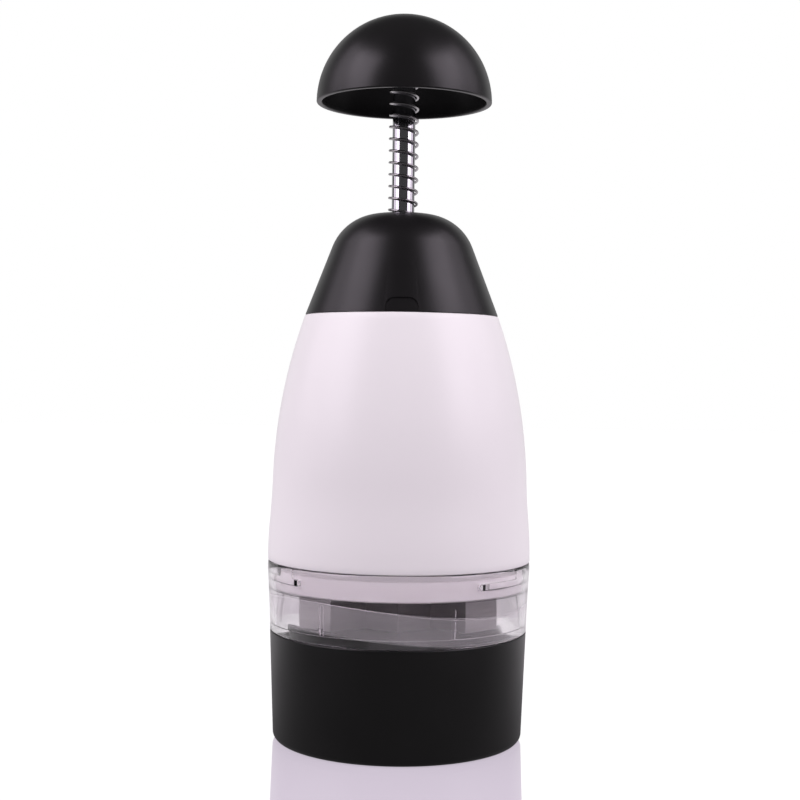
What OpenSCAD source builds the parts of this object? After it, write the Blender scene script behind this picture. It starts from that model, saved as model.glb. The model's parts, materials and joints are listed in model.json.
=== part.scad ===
// Plunger food chopper. A sprung plunger pushes a pack of zigzag blades down into a lift-off cup,
// and a twisted spindle in a fixed nut turns the pack a little at each stroke.
// Millimetres, +Z up, origin at the centre of the cup's foot, the shell halves part on the XZ plane.

/* [Chopping chamber] */
// Inner radius of the cup's neck, through which the blades pass
chamber_r = 37; // [34:0.5:40]
// Travel of the plunger and the blades
stroke = 35; // [28:0.5:38]
// Turn of the blades over the whole travel, in degrees
stroke_turn = 30; // [10:1:45]

/* [Cup] */
// Height of the shoulder that the clear ring stands on
cup_h = 36; // [33:0.5:39]
// Thickness of the cup's floor
cup_floor = 2.2; // [1.5:0.1:3]
// How far the floor stands above the table
foot_recess = 1; // [0.5:0.1:1.5]
// How much the outside narrows from the shoulder to the foot, in radius
cup_draft = 1.25; // [0:0.05:2]
// Rounding of the outside edge at the foot
foot_round = 2.5; // [1:0.1:3]
// Thickness of the neck
neck_wall = 2.1; // [1.6:0.1:2.6]
// Height of the neck above the shoulder at a cam's low end
neck_low = 0.6; // [0.3:0.1:1]
// Height of the neck above the shoulder at a cam's high end
neck_high = 4.4; // [2:0.1:5]
// Number of cams on the neck
cams = 2; // [2:1:4]

/* [Clear ring] */
// Height of the ring
ring_h = 22.6; // [20:0.2:26]
// Wall of the ring at its foot
ring_wall = 2.3; // [1.8:0.05:2.6]
// Height of the upright band at the ring's top
band_h = 4; // [3:0.1:5]
// How far the ring's top stands out past its foot, in radius
ring_flare = 0.9; // [0.6:0.05:1.4]
// Number of upright ribs inside the ring
ring_ribs = 6; // [3:1:8]
// Width of an upright rib
ring_rib_w = 1.4; // [1:0.1:2]
// Depth of an upright rib
ring_rib_d = 0.6; // [0.4:0.1:1]
// Height of an upright rib
ring_rib_h = 8.7; // [6:0.1:10]
// Turn of the ring's ribs and grooves from the shell's seams, in degrees
ring_index = -5.3; // [-12:0.1:0]
// Turn that frees the ring from the shell, in degrees
unlock_turn = 20; // [10:1:25]
// Height of the bayonet lugs on the shell
lug_h = 1.8; // [1.4:0.1:2.2]
// How far the bayonet lugs stand out
lug_out = 0.9; // [0.6:0.1:1]
// Width of a bayonet lug, in degrees
lug_angle = 12; // [8:1:14]

/* [Shell] */
// Height of the visible shell between ring and collar
shell_h = 80.3; // [76:0.5:90]
// Wall of the shell
shell_wall = 2.2; // [1.6:0.1:2.6]
// Height of the shell's waist above the ring
waist_h = 21.3; // [16:0.1:28]
// How far the waist lies inside the shell's lower edge, in radius
waist_d = 1.25; // [0:0.05:2]
// Length of the skirt inside the ring
skirt_l = 8.7; // [7:0.1:9]
// Gap between the two halves
seam_gap = 0.2; // [0.1:0.05:0.4]
// Radius of the hinge pins
pin_r = 1.25; // [1:0.05:1.4]
// Length of the hinge pins
pin_l = 17.4; // [16:0.1:19]

/* [Collar] */
// Height of the collar
collar_h = 33.4; // [32:0.1:38]
// Radius of the collar's lower edge
collar_r = 31.8; // [31.5:0.1:32.5]
// Lean of the collar's side, in degrees
collar_lean = 21.06; // [19:0.1:22]
// Rounding of the collar's shoulder
collar_round = 17; // [16:0.5:19]
// Wall of the collar
collar_wall = 2.2; // [1.6:0.1:2.6]
// Depth of the well that the spring stands in
well_depth = 13.9; // [13:0.1:16]
// Width of the rounded panel at the collar's edge
panel_w = 10.4; // [8:0.1:14]
// Height of the rounded panel at the collar's edge
panel_h = 4.6; // [3:0.1:5]

/* [Plunger] */
// Outer radius of the plunger tube
tube_r = 3.75; // [3.5:0.05:4]
// Wall of the plunger tube
tube_wall = 0.8; // [0.6:0.05:1]
// Radius of the spring's wire
wire_r = 0.42; // [0.35:0.01:0.5]
// Rise of one open coil of the spring
coil_pitch = 3.9; // [3:0.1:5]
// Length of the guide bush
bush_l = 12; // [10:0.5:14]
// Outer radius of the knob
dome_r = 28.9; // [26:0.1:32]
// Wall of the knob
dome_wall = 1.8; // [1.4:0.1:2.4]
// Height of the spring's upper seat above the knob's rim
cap_rise = 9; // [6:0.5:12]
// Gap that is left between knob and collar at full press
knob_gap = 1.4; // [0.6:0.1:3]

/* [Twist drive] */
// Width across the flats of the twisted spindle
spindle_w = 7; // [6:0.1:7.4]
// Length of the twist nut
nut_h = 10; // [8:0.5:12]
// Number of ratchet teeth on the twist nut
nut_teeth = 8; // [6:1:12]
// Thickness of the flange at the top of the guide column
flange_t = 3; // [3:0.1:4]
// Distance of the column's screws from the edge of that flange
screw_inset = 3.4; // [2.8:0.1:4]
// Radius of the column screws' shanks
screw_r = 1.5; // [1.2:0.1:1.6]

/* [Blades] */
// Height of a blade strip
blade_h = 23; // [20:0.5:24]
// Thickness of a blade strip
blade_t = 0.6; // [0.4:0.05:1]
// Height of the ground edge
grind_h = 2.6; // [1:0.1:4]
// Number of facets in a blade strip
facets = 6; // [4:2:8]
// Distance of the strip's middle from the axis
strip_y = 15; // [13:0.5:17]
// Half the depth of the strip's zigzag
zigzag = 6; // [4:0.5:6]
// Gap between the carrier's edge and the cup's neck
carrier_gap = 2.6; // [1:0.1:3]
// Thickness of the blade carrier
carrier_t = 3; // [2:0.1:4]
// Thickness of the plate that clamps the blades
clamp_t = 1.5; // [1:0.1:2]

/* [Hidden] */

$fn = 96;
eps = 0.01;
big = 400;

// Clearances
seat_gap = 0.2;       // between cup, ring and shell, which lift off each other
slip_gap = 0.25;      // between sleeves that slide or turn by hand
run_gap = 0.05;       // between a shaft and its bearing
fit_gap = 0.05;       // between pieces that stay together
rest_gap = 0.3;       // between stop clip and bumper at rest
tip_gap = 0.8;        // between blade tips and cup floor at full press
drive_gap = 1;        // between tube end and pawl ring at full press
part_gap = 0.1;       // at a parting line between fixed pieces

// Radii, from the chamber outwards
neck_r = chamber_r + neck_wall;
rib_in_r = neck_r + slip_gap;
ring_bore_r = rib_in_r + ring_rib_d;
ring_foot_r = ring_bore_r + ring_wall;
ring_top_r = ring_foot_r + ring_flare;
ring_step = 0.85;                           // wall taken off at the ring's foot and at its skirt seat
foot_bore_r = ring_bore_r + ring_step;
foot_bore_h = 2.6;
skirt_bore_r = ring_bore_r + ring_step;
skirt_r = skirt_bore_r - slip_gap;
cup_top_r = ring_foot_r;
cup_foot_r = cup_top_r - cup_draft;
carrier_r = chamber_r - carrier_gap;
groove_half = 43.3;                         // half the angle of a bayonet groove
lug_play = 0.7;                             // angle left between a lug and the end of its groove

// Levels, from the table upwards
z_floor = foot_recess + cup_floor;
z_ring = cup_h + seat_gap;
z_ring_top = z_ring + ring_h;
lug_z = z_ring_top - band_h - 1.3;
z_shell = z_ring_top + seat_gap;
z_skirt = z_shell - skirt_l;
z_collar = z_shell + shell_h;
z_collar_top = z_collar + collar_h;
z_rim = z_collar_top + stroke + knob_gap;
z_cap = z_rim + cap_rise;
z_tip = z_floor + tip_gap + stroke;
z_carrier = z_tip + blade_h;

// Guide bush and what hangs under it
washer_t = 0.8;
bush_flange_t = 1.5;
bumper_t = 1.5;
clip_t = 1.2;
tube_tail = 2.5;                            // tube left below the stop clip
bore_r = tube_r + run_gap;
tube_in_r = tube_r - tube_wall;
bush_r = 6.15;
well_r = bush_r + fit_gap;
boss_r = well_r + collar_wall;
bush_flange_r = 8.6;
z_seat = z_collar_top - well_depth;
z_bush_top = z_seat - washer_t;
z_bush = z_bush_top - bush_l;
z_flange_top = z_bush - fit_gap;
z_bumper = z_bush - bush_flange_t - bumper_t;
z_clip = z_bumper - rest_gap - clip_t;
z_tube = z_clip - tube_tail;
clip_r = 6.3;
clip_groove = 0.35;

// Column and twist drive, placed so that the tube's end clears the pawl ring at full press
column_in_r = 7.2;
column_wall = 2.4;
column_r = column_in_r + column_wall;
pawl_t = 1.2;
ledge_t = 2;
ledge_r = 5.6;
z_ledge_top = z_tube - stroke - drive_gap;
z_ledge = z_ledge_top - ledge_t;
z_pawl = z_ledge - fit_gap - pawl_t;
tooth_h = 1;
z_nut = z_pawl - fit_gap - nut_h;
z_column = z_nut - fit_gap;
cap_wall = 1.8;
retainer_h = 8;
z_retainer = z_column - fit_gap - cap_wall;
twist_rate = stroke_turn / stroke;          // degrees of turn for each millimetre of travel
spindle_corner_r = spindle_w / sqrt(2);
z_twist_low = z_nut - 6;                    // the twisted length runs past both ends of the nut
shoulder_h = 1.4;
z_twist_top = z_tube - part_gap - shoulder_h;
journal_r = 1.5;
plug_l = 14;
journal_tip = 3;
groove_w = 0.7;
groove_d = 0.4;

// Knob
boss_out_r = 7;
cap_t = 1.2;
cap_r = 6.2;
tube_in_boss = 3;
insert_h = 10;
insert_r = 4;
stud_r = 2.4;
stud_in_tube = 12;
z_tube_top = z_cap + cap_t + tube_in_boss;
knob_ribs = 6;
knob_rib_t = 1.4;
knob_rib_rise = 6;                          // underside of the ribs above the spring's upper seat

// Spring
coil_in_gap = 0.38;
coil_r = tube_r + coil_in_gap + wire_r;
coil_steps = 14;
coil_sides = 6;
closed_pitch = 2 * wire_r + 0.06;
spring_h = z_cap - z_seat - 2 * wire_r - 2 * fit_gap;
open_turns = (spring_h - 2 * closed_pitch) / coil_pitch;

// Hinges of the shell halves
knuckle_r = 2.3;
knuckle_l = 12;
ear_t = 2.4;
hinge_z = z_collar + 3;
hinge_gap = 0.3;
hinge_y = sqrt(pow(side_r(hinge_z + knuckle_r, collar_wall), 2) - pow(knuckle_l / 2, 2))
          - knuckle_r - part_gap;
flange_r = hinge_y - knuckle_r - 2 * hinge_gap;
shell_neck_h = 5.8;                         // the shell's neck stands this far up inside the collar

// Side of the shell: a flare above the ring, and from the waist up one arc that meets the collar
flare_from = 2;
flare_h = 24.6;
z_waist = z_shell + waist_h;
z_shell_top = z_collar - part_gap;
waist_r = ring_top_r - waist_d;
shell_fall = waist_r - collar_r;
shell_rise = z_shell_top - z_waist;
shell_bulge = (pow(shell_rise, 2) + pow(shell_fall, 2)) / (2 * shell_fall);

// Screws between the column's flange and the collar's posts
screw_circle = flange_r - screw_inset;
screw_bite = 9;
screw_head_r = 2.8;
screw_head_h = 2;
screw_tip_gap = 1;

// Blades
strip_half = carrier_r - 2.9;
facet_dx = 2 * strip_half / facets;
facet_l = norm([facet_dx, 2 * zigzag]);
edge_t = 0.1;
tab_w = 5;
tab_up = 0.5;
slot_gap = 0.1;
hub_r = 8.5;
hub_h = 9;
window_r = 5;
window_web = 3;
hub_screw_r = 2;
hub_screw_l = 12;
hub_head_r = 4;
hub_head_h = 2;
clamp_screw_r = 1;
clamp_head_r = 2;
clamp_head_h = 1.2;
clamp_r = carrier_r - 2.4;
clamp_circle = clamp_r - 4;
clamp_in_r = hub_r + 1.5;
z_clamp = z_carrier + carrier_t;

function polar(r, a) = [r * cos(a), r * sin(a)];
function arc_points(c, r, a0, a1, n) = [for (i = [0:n]) c + polar(r, a0 + (a1 - a0) * i / n)];
function coil_z(t) =
    t < 1 ? closed_pitch * t
    : t > open_turns + 1 ? spring_h - closed_pitch * (open_turns + 2 - t)
    : closed_pitch + coil_pitch * (t - 1);
function flare(z) = waist_d * (1 + cos(180 * min(1, max(0, (z - z_shell - flare_from) / flare_h)))) / 2;
function shell_r(z, inset) =
    waist_r - inset - shell_bulge + sqrt(pow(shell_bulge, 2) - pow(max(0, z - z_waist), 2)) + flare(z);
function side_r(z, inset) = collar_r - inset / cos(collar_lean) - (z - z_collar) * tan(collar_lean);
function strip_point(i) = [-strip_half + i * facet_dx, strip_y + (i % 2 == 0 ? -zigzag : zigzag)];

// A wedge of angle a0 to a1 about Z, used to cut sectors
module sector(a0, a1, z0, h) {
    translate([0, 0, z0])
        linear_extrude(height = h)
            polygon(concat([[0, 0]], [for (i = [0:4]) polar(2 * ring_top_r, a0 + (a1 - a0) * i / 4)]));
}

module ring_band(r_in, r_out, z0, h) {
    translate([0, 0, z0])
        difference() {
            cylinder(r = r_out, h = h);
            translate([0, 0, -eps]) cylinder(r = r_in, h = h + 2 * eps);
        }
}

// Everything on one side of the seam plane: side is -1 in front and 1 at the back
module half_space(side) {
    translate([-big / 2, side > 0 ? seam_gap / 2 : -big - seam_gap / 2, -big / 4]) cube(big);
}

module base_cup() {
    top = cup_h + neck_high;
    ease = 0.4;
    floor_ease = 2;
    rest_in_r = chamber_r - ease;
    color("#1b1b1d") difference() {
        rotate_extrude()
            polygon(concat(
                arc_points([cup_foot_r - foot_round, foot_round], foot_round, -90, 0, 6),
                [[cup_top_r, cup_h - ease], [cup_top_r - ease, cup_h], [neck_r, cup_h], [neck_r, top],
                 [chamber_r, top], [chamber_r, z_floor + floor_ease], [chamber_r - floor_ease, z_floor],
                 [0, z_floor], [0, foot_recess], [rest_in_r, foot_recess], [rest_in_r, 0]]));
        for (i = [0:cams - 1]) rotate([0, 0, i * 360 / cams]) neck_cut();
    }
}

// Cuts the neck down to the slope of one cam, and to its low height from there to the next cam
module neck_cut() {
    cam_start = -150;
    cam_turn = 86;
    middle = cam_start + cam_turn / 2;
    slope = atan((neck_high - neck_low) / 2 / (neck_r * sin(cam_turn / 2)));
    intersection() {
        ring_band(chamber_r - 1, neck_r + slip_gap, cup_h + neck_low, neck_high);
        sector(cam_start, cam_start + 360 / cams, cup_h, neck_high + 1);
        rotate([0, 0, middle])
            translate([0, 0, cup_h + (neck_low + neck_high) / 2])
                rotate([-slope, 0, 0]) translate([-big / 2, -big / 2, 0]) cube(big);
    }
}

module clear_ring() {
    lead = 0.3;
    foot_band_h = 6;
    color([0.85, 0.83, 0.86, 0.4]) difference() {
        union() {
            rotate_extrude()
                polygon([[foot_bore_r, z_ring], [ring_foot_r, z_ring],
                         [ring_foot_r + 0.2 * ring_flare, z_ring + foot_band_h],
                         [ring_top_r - 0.35 * ring_flare, z_ring_top - 2 * band_h],
                         [ring_top_r, z_ring_top - band_h + 1], [ring_top_r, z_ring_top - lead],
                         [ring_top_r - lead, z_ring_top], [skirt_bore_r, z_ring_top],
                         [skirt_bore_r, z_skirt - slip_gap], [ring_bore_r, z_skirt - slip_gap],
                         [ring_bore_r, z_ring + foot_bore_h], [foot_bore_r, z_ring + foot_bore_h]]);
            for (i = [0:ring_ribs - 1]) rotate([0, 0, i * 360 / ring_ribs - 120 + ring_index]) ring_rib();
            for (a = [0, 180]) rotate([0, 0, a]) ring_ridge();
        }
        for (a = [0, 180]) rotate([0, 0, a + ring_index]) bayonet_groove();
    }
}

module ring_rib() {
    z0 = z_ring + foot_bore_h + 0.2;
    translate([rib_in_r, -ring_rib_w / 2, z0]) cube([ring_rib_d + 0.4, ring_rib_w, ring_rib_h]);
    translate([rib_in_r, 0, z0 + ring_rib_h])
        rotate([0, 90, 0]) cylinder(d = ring_rib_w, h = ring_rib_d + 0.4, $fn = 24);
}

// A thin sloping ridge on the bore, a third of the way round
module ring_ridge() {
    slope = 5.3;
    ridge_h = 0.7;
    ridge_d = 0.3;
    reach = 55;
    z_mid = z_ring + 11;
    intersection() {
        ring_band(ring_bore_r - ridge_d, ring_bore_r + ridge_d, z_ring, z_skirt - slip_gap - z_ring);
        sector(-90 - reach, -90 + reach, z_ring, ring_h);
        translate([0, 0, z_mid]) rotate([0, slope, 0])
            translate([-big / 2, -big / 2, -ridge_h / 2]) cube([big, big, ridge_h]);
    }
}

// Groove that a front and a back lug turn in, with open slots where they come free
module bayonet_groove() {
    groove_r = skirt_r + lug_out + slip_gap;
    half = groove_half;
    slot = lug_angle + 1;
    window_w = 1.5;
    window_ease = 0.1;
    z0 = lug_z - seat_gap;
    intersection() {
        ring_band(ring_bore_r, groove_r, z0, lug_h + 2 * seat_gap);
        sector(-half, half, z0, lug_h + 1);
    }
    for (a = [half - slot, -half + unlock_turn])
        intersection() {
            ring_band(ring_bore_r, groove_r, z0, ring_h);
            sector(a, a + slot, z0, ring_h);
        }
    for (a = [-half, half])
        rotate([0, 0, a]) translate([ring_bore_r, -window_w / 2, z0 - window_ease])
            cube([ring_top_r, window_w, lug_h + 2 * seat_gap + 2 * window_ease]);
}

module lug(start) {
    intersection() {
        ring_band(skirt_r - 0.5, skirt_r + lug_out, lug_z, lug_h);
        sector(start, start + lug_angle, lug_z - eps, lug_h + 1);
    }
}

module shell_half(side) {
    arc_n = 32;
    skirt_t = 2;
    z0 = z_shell;
    z1 = z_shell_top;
    z_in = z0 + 4;
    neck_top = z_collar + shell_neck_h;
    neck_gap = 0.25;
    neck_t = 2;
    ledge = collar_wall / cos(collar_lean) + neck_gap;
    turn = side > 0 ? 180 : 0;
    first = -groove_half + lug_play + ring_index;
    second = groove_half - lug_play + ring_index - unlock_turn - lug_angle;
    color("#efe8f0") difference() {
        union() {
            intersection() {
                rotate_extrude()
                    polygon(concat(
                        [[skirt_r - skirt_t, z_skirt], [skirt_r, z_skirt], [skirt_r, z0]],
                        [for (i = [0:arc_n]) let (z = z0 + (z1 - z0) * i / arc_n) [shell_r(z, 0), z]],
                        [[side_r(z_collar, ledge), z1], [side_r(neck_top, ledge), neck_top],
                         [side_r(neck_top, ledge + neck_t), neck_top],
                         [side_r(z_collar, ledge + neck_t), z1 - 1]],
                        [for (i = [arc_n - 1:-1:0]) let (z = z_in + (z1 - z_in) * i / arc_n)
                            [shell_r(z, shell_wall), z]],
                        [[skirt_r - skirt_t, z0 + 1]]));
                half_space(side);
            }
            rotate([0, 0, turn]) {
                lug(first);
                rotate([0, 0, 180]) lug(second);
            }
            rotate([0, 0, turn]) shell_knuckle();
        }
        rotate([0, 0, turn]) hinge_window();
        rotate([0, 0, turn]) hinge_bore(pin_r + run_gap);
    }
}

// Knuckle in the middle of the front hinge, on a tab of the shell's neck
module shell_knuckle() {
    translate([-knuckle_l / 2, -hinge_y, hinge_z])
        rotate([0, 90, 0]) cylinder(r = knuckle_r, h = knuckle_l, $fn = 48);
    translate([-knuckle_l / 2, -hinge_y - knuckle_r, z_collar - 2])
        cube([knuckle_l, 2 * knuckle_r - 0.6, hinge_z - z_collar + 2]);
}

// Clears the neck beside the knuckle for the collar's two ears
module hinge_window() {
    reach = knuckle_l / 2 + hinge_gap;
    depth = collar_r - hinge_y + 2 * knuckle_r;
    for (x = [-reach - ear_t - 2 * hinge_gap, reach - hinge_gap])
        translate([x, -collar_r, z_collar + hinge_gap])
            cube([ear_t + 3 * hinge_gap, depth, shell_neck_h]);
    translate([-reach, -collar_r, hinge_z + knuckle_r + hinge_gap])
        cube([2 * reach, depth, shell_neck_h]);
}

module hinge_bore(r) {
    length = pin_l + 2 * fit_gap;
    translate([-length / 2, -hinge_y, hinge_z])
        rotate([0, 90, 0]) cylinder(r = r, h = length, $fn = 48);
}

module shell_front() { shell_half(-1); }
module shell_back() { shell_half(1); }

module hinge_pin(turn) {
    color("silver") rotate([0, 0, turn])
        translate([-pin_l / 2, -hinge_y, hinge_z])
            rotate([0, 90, 0]) cylinder(r = pin_r, h = pin_l, $fn = 48);
}

module hinge_pin_front() { hinge_pin(0); }
module hinge_pin_back() { hinge_pin(180); }

// The collar's outline, moved inwards by inset, filled to the axis
module collar_outline(inset) {
    round_r = collar_round - inset;
    zc = z_collar_top - collar_round;
    rc = collar_r - (collar_round + (zc - z_collar) * sin(collar_lean)) / cos(collar_lean);
    z_low = z_collar - (inset > 0 ? 1 : 0);
    polygon(concat([[0, z_low], [side_r(z_low, inset), z_low]],
                   arc_points([rc, zc], round_r, collar_lean, 90, 24),
                   [[0, zc + round_r]]));
}

module collar() {
    post_r = 3.2;
    color("#1b1b1d") difference() {
        union() {
            rotate_extrude() difference() {
                collar_outline(0);
                collar_outline(collar_wall);
            }
            intersection() {
                rotate_extrude() collar_outline(0.6);
                union() {
                    translate([0, 0, z_bush + fit_gap]) cylinder(r = boss_r, h = big);
                    for (i = [0:2])
                        rotate([0, 0, screw_angle(i)]) translate([screw_circle, 0, z_flange_top + fit_gap])
                            cylinder(r = post_r, h = big, $fn = 48);
                    for (a = [0, 180]) rotate([0, 0, a]) collar_ears();
                }
            }
        }
        cylinder(r = well_r, h = big);
        for (i = [0:2])
            rotate([0, 0, screw_angle(i)]) translate([screw_circle, 0, 0])
                cylinder(r = screw_r + fit_gap, h = z_flange_top + screw_bite + screw_tip_gap, $fn = 48);
        for (a = [0, 180]) rotate([0, 0, a]) {
            hinge_bore(pin_r + run_gap);
            edge_panel();
        }
    }
}

function screw_angle(i) = 30 + i * 120;

module collar_ears() {
    x0 = knuckle_l / 2 + hinge_gap;
    for (x = [-x0 - ear_t, x0])
        translate([x, -collar_r, z_collar + 0.6])
            cube([ear_t, collar_r - hinge_y + knuckle_r, hinge_z - z_collar + 8]);
}

// Shallow recess with rounded upper corners at the middle of the collar's lower edge
module edge_panel() {
    depth = 0.4;
    corner = 3;
    intersection() {
        difference() {
            rotate_extrude() collar_outline(-1);
            rotate_extrude() collar_outline(depth);
        }
        translate([0, 0, z_collar - 1]) rotate([90, 0, 0]) linear_extrude(height = big) {
            translate([-panel_w / 2, 0]) square([panel_w, panel_h + 1 - corner]);
            translate([-panel_w / 2 + corner, 0]) square([panel_w - 2 * corner, panel_h + 1]);
            for (x = [-1, 1])
                translate([x * (panel_w / 2 - corner), panel_h + 1 - corner]) circle(r = corner, $fn = 32);
        }
    }
}

module guide_bush() {
    color("ivory") difference() {
        union() {
            translate([0, 0, z_bush]) cylinder(r = bush_r, h = bush_l - fit_gap);
            translate([0, 0, z_bush - bush_flange_t]) cylinder(r = bush_flange_r, h = bush_flange_t);
        }
        translate([0, 0, z_bush - 5]) cylinder(r = bore_r, h = bush_l + 10);
    }
}

module spring_washer() {
    color("silver") ring_band(tube_r + slip_gap, bush_r - 0.15, z_bush_top, washer_t);
}

module stop_bumper() {
    color("#2a2a2a") ring_band(tube_r + slip_gap, column_in_r - 0.2, z_bumper, bumper_t - fit_gap);
}

module guide_column() {
    fin_t = 1.8;
    fin_h = 22;
    color("whitesmoke") difference() {
        union() {
            translate([0, 0, z_column]) cylinder(r = column_r, h = z_flange_top - z_column);
            translate([0, 0, z_flange_top - flange_t]) cylinder(r = flange_r, h = flange_t);
            for (i = [0:2])
                rotate([90, 0, screw_angle(i) + 60])
                    linear_extrude(height = fin_t, center = true)
                        polygon([[column_r - 0.5, z_flange_top - flange_t - fin_h],
                                 [flange_r - 2, z_flange_top - flange_t],
                                 [column_r - 0.5, z_flange_top - flange_t + 0.5]]);
        }
        ring_cut(ledge_r, z_column - 1, z_flange_top + 1);
        ring_cut(column_in_r, z_column - 1, z_ledge);
        ring_cut(column_in_r, z_ledge_top, z_flange_top + 1);
        ring_cut(bush_flange_r + 0.1, z_bush - bush_flange_t - fit_gap, z_flange_top + 1);
        for (i = [0:2])
            rotate([0, 0, screw_angle(i)]) translate([screw_circle, 0, z_flange_top - 10])
                cylinder(r = screw_r + 0.2, h = 20, $fn = 48);
    }
}

module ring_cut(r, z0, z1) {
    translate([0, 0, z0]) cylinder(r = r, h = z1 - z0);
}

// Pan-head screw pointing up from z, with a cross recess in its head
module pan_screw(shank_r, shank_l, head_r, head_h) {
    difference() {
        union() {
            cylinder(r = shank_r, h = shank_l, $fn = 32);
            translate([0, 0, -head_h]) cylinder(r1 = head_r - 0.5, r2 = head_r, h = head_h, $fn = 32);
        }
        for (a = [0, 90])
            rotate([0, 0, a]) translate([0, 0, -head_h])
                cube([head_r * 1.2, head_r * 0.25, head_h], center = true);
    }
}

module column_screws() {
    color("silver") for (i = [0:2])
        rotate([0, 0, screw_angle(i)])
            translate([screw_circle, 0, z_flange_top - flange_t - fit_gap])
                pan_screw(screw_r, flange_t + screw_bite, screw_head_r, screw_head_h);
}

module pawl_ring() {
    color("silver") difference() {
        ring_band(ledge_r - 0.2, column_in_r - fit_gap, z_pawl, pawl_t);
        for (a = [0, 180])
            rotate([0, 0, a]) translate([0, ledge_r - 1, z_pawl + 0.5]) cube([4, 3, pawl_t]);
    }
}

// The spindle's square section, turned to suit its height
module twisted_bar(width, z0, z1) {
    twist = twist_rate * (z1 - z0);
    translate([0, 0, z0])
        rotate([0, 0, -twist_rate * (z0 - z_nut)])
            linear_extrude(height = z1 - z0, twist = twist, slices = ceil(twist / 1.5), segments = 8)
                square(width, center = true);
}

module twist_nut() {
    step = 360 / nut_teeth;
    color("ivory") difference() {
        translate([0, 0, z_nut]) cylinder(r = column_in_r - fit_gap, h = nut_h);
        for (i = [0:nut_teeth - 1])
            rotate([0, 0, i * step])
                translate([0, ledge_r + 0.2, z_nut + nut_h]) rotate([0, 14, 0])
                    translate([0, 0, -tooth_h / 2]) cube([step / 14, 3, 3]);
        twisted_bar(spindle_w + 2 * slip_gap, z_nut - 1, z_nut + nut_h + 1);
    }
}

module nut_retainer() {
    color("#1b1b1d") difference() {
        translate([0, 0, z_retainer]) cylinder(r = column_r + cap_wall, h = retainer_h);
        ring_cut(ledge_r, z_retainer - 1, z_retainer + retainer_h + 1);
        ring_cut(column_r + fit_gap, z_retainer + cap_wall, z_retainer + retainer_h + 1);
        for (i = [0:11])
            rotate([0, 0, i * 30]) translate([column_r + cap_wall + 0.5, 0, z_retainer - 1])
                cylinder(r = 1, h = retainer_h + 2, $fn = 24);
    }
}

module knob_dome() {
    inner_r = dome_r - dome_wall;
    color("#1b1b1d") difference() {
        union() {
            difference() {
                translate([0, 0, z_rim]) sphere(r = dome_r);
                translate([0, 0, z_rim]) sphere(r = inner_r);
            }
            intersection() {
                translate([0, 0, z_rim]) sphere(r = dome_r - dome_wall / 2);
                union() {
                    translate([0, 0, z_cap + cap_t]) cylinder(r = boss_out_r, h = big / 4);
                    for (i = [0:knob_ribs - 1])
                        rotate([0, 0, i * 360 / knob_ribs])
                            translate([0, -knob_rib_t / 2, z_cap + knob_rib_rise])
                                cube([dome_r, knob_rib_t, big / 4]);
                }
            }
        }
        translate([-big / 2, -big / 2, z_rim - big]) cube(big);
        ring_cut(tube_r + fit_gap, z_cap, z_tube_top + fit_gap);
        ring_cut(insert_r + fit_gap, z_cap, z_tube_top + 0.5 + insert_h);
    }
}

module knob_insert() {
    color("goldenrod") ring_band(stud_r + fit_gap, insert_r, z_tube_top + 0.4, insert_h);
}

module knob_stud() {
    color("silver") union() {
        translate([0, 0, z_tube_top - stud_in_tube]) cylinder(r = tube_in_r - fit_gap, h = stud_in_tube);
        translate([0, 0, z_tube_top - 1]) cylinder(r = stud_r, h = insert_h);
    }
}

module spring_cap() {
    color("#2a2a2a") ring_band(tube_r + fit_gap, cap_r, z_cap, cap_t - fit_gap);
}

module plunger_tube() {
    color("silver") difference() {
        translate([0, 0, z_tube]) cylinder(r = tube_r, h = z_tube_top - z_tube);
        ring_cut(tube_in_r, z_tube - 1, z_tube_top + 1);
        ring_band(tube_r - clip_groove, tube_r + 1, z_clip, clip_t);
    }
}

module stop_clip() {
    color("dimgray") difference() {
        ring_band(tube_r - clip_groove + fit_gap, clip_r, z_clip + 0.02, clip_t - 0.04);
        translate([0, -1.6, z_clip - 1]) cube([clip_r + 1, 3.2, clip_t + 2]);
    }
}

module tube_plug() {
    color("ivory") ring_band(journal_r + run_gap, tube_in_r - 0.02, z_tube, plug_l);
}

module return_spring() {
    steps = ceil((open_turns + 2) * coil_steps);
    rings = [for (i = [0:steps]) let (t = i * (open_turns + 2) / steps)
                for (k = [0:coil_sides - 1]) let (p = polar(wire_r, k * 360 / coil_sides))
                    concat(polar(coil_r + p[0], -360 * t), [coil_z(t) + p[1]])];
    walls = [for (i = [0:steps - 1]) for (k = [0:coil_sides - 1]) let (n = (k + 1) % coil_sides)
                [i * coil_sides + k, i * coil_sides + n,
                 (i + 1) * coil_sides + n, (i + 1) * coil_sides + k]];
    ends = [[for (k = [coil_sides - 1:-1:0]) k],
            [for (k = [0:coil_sides - 1]) steps * coil_sides + k]];
    color("silver") translate([0, 0, z_seat + wire_r + fit_gap])
        polyhedron(points = rings, faces = concat(walls, ends), convexity = 10);
}

module blade_spindle() {
    z_foot = z_clamp + 1;
    color("silver") difference() {
        union() {
            translate([0, 0, z_foot]) cylinder(r = spindle_corner_r + 0.6, h = z_twist_low - z_foot);
            twisted_bar(spindle_w, z_twist_low - eps, z_twist_top);
            translate([0, 0, z_twist_top - eps]) cylinder(r = tube_r - 0.15, h = shoulder_h);
            translate([0, 0, z_twist_top])
                cylinder(r = journal_r, h = z_tube + plug_l + journal_tip - z_twist_top, $fn = 64);
        }
        ring_band(journal_r - groove_d, journal_r + 1, z_tube + plug_l + part_gap, groove_w);
        ring_cut(hub_screw_r + fit_gap, z_foot - 1, z_carrier + hub_screw_l + 0.5);
    }
}

module spindle_clip() {
    color("dimgray") difference() {
        ring_band(journal_r - groove_d + 0.03, tube_in_r - 0.35, z_tube + plug_l + part_gap + 0.03,
                  groove_w - 0.06);
        translate([0, -0.7, z_tube + plug_l]) cube([tube_r, 1.4, 2]);
    }
}

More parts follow.
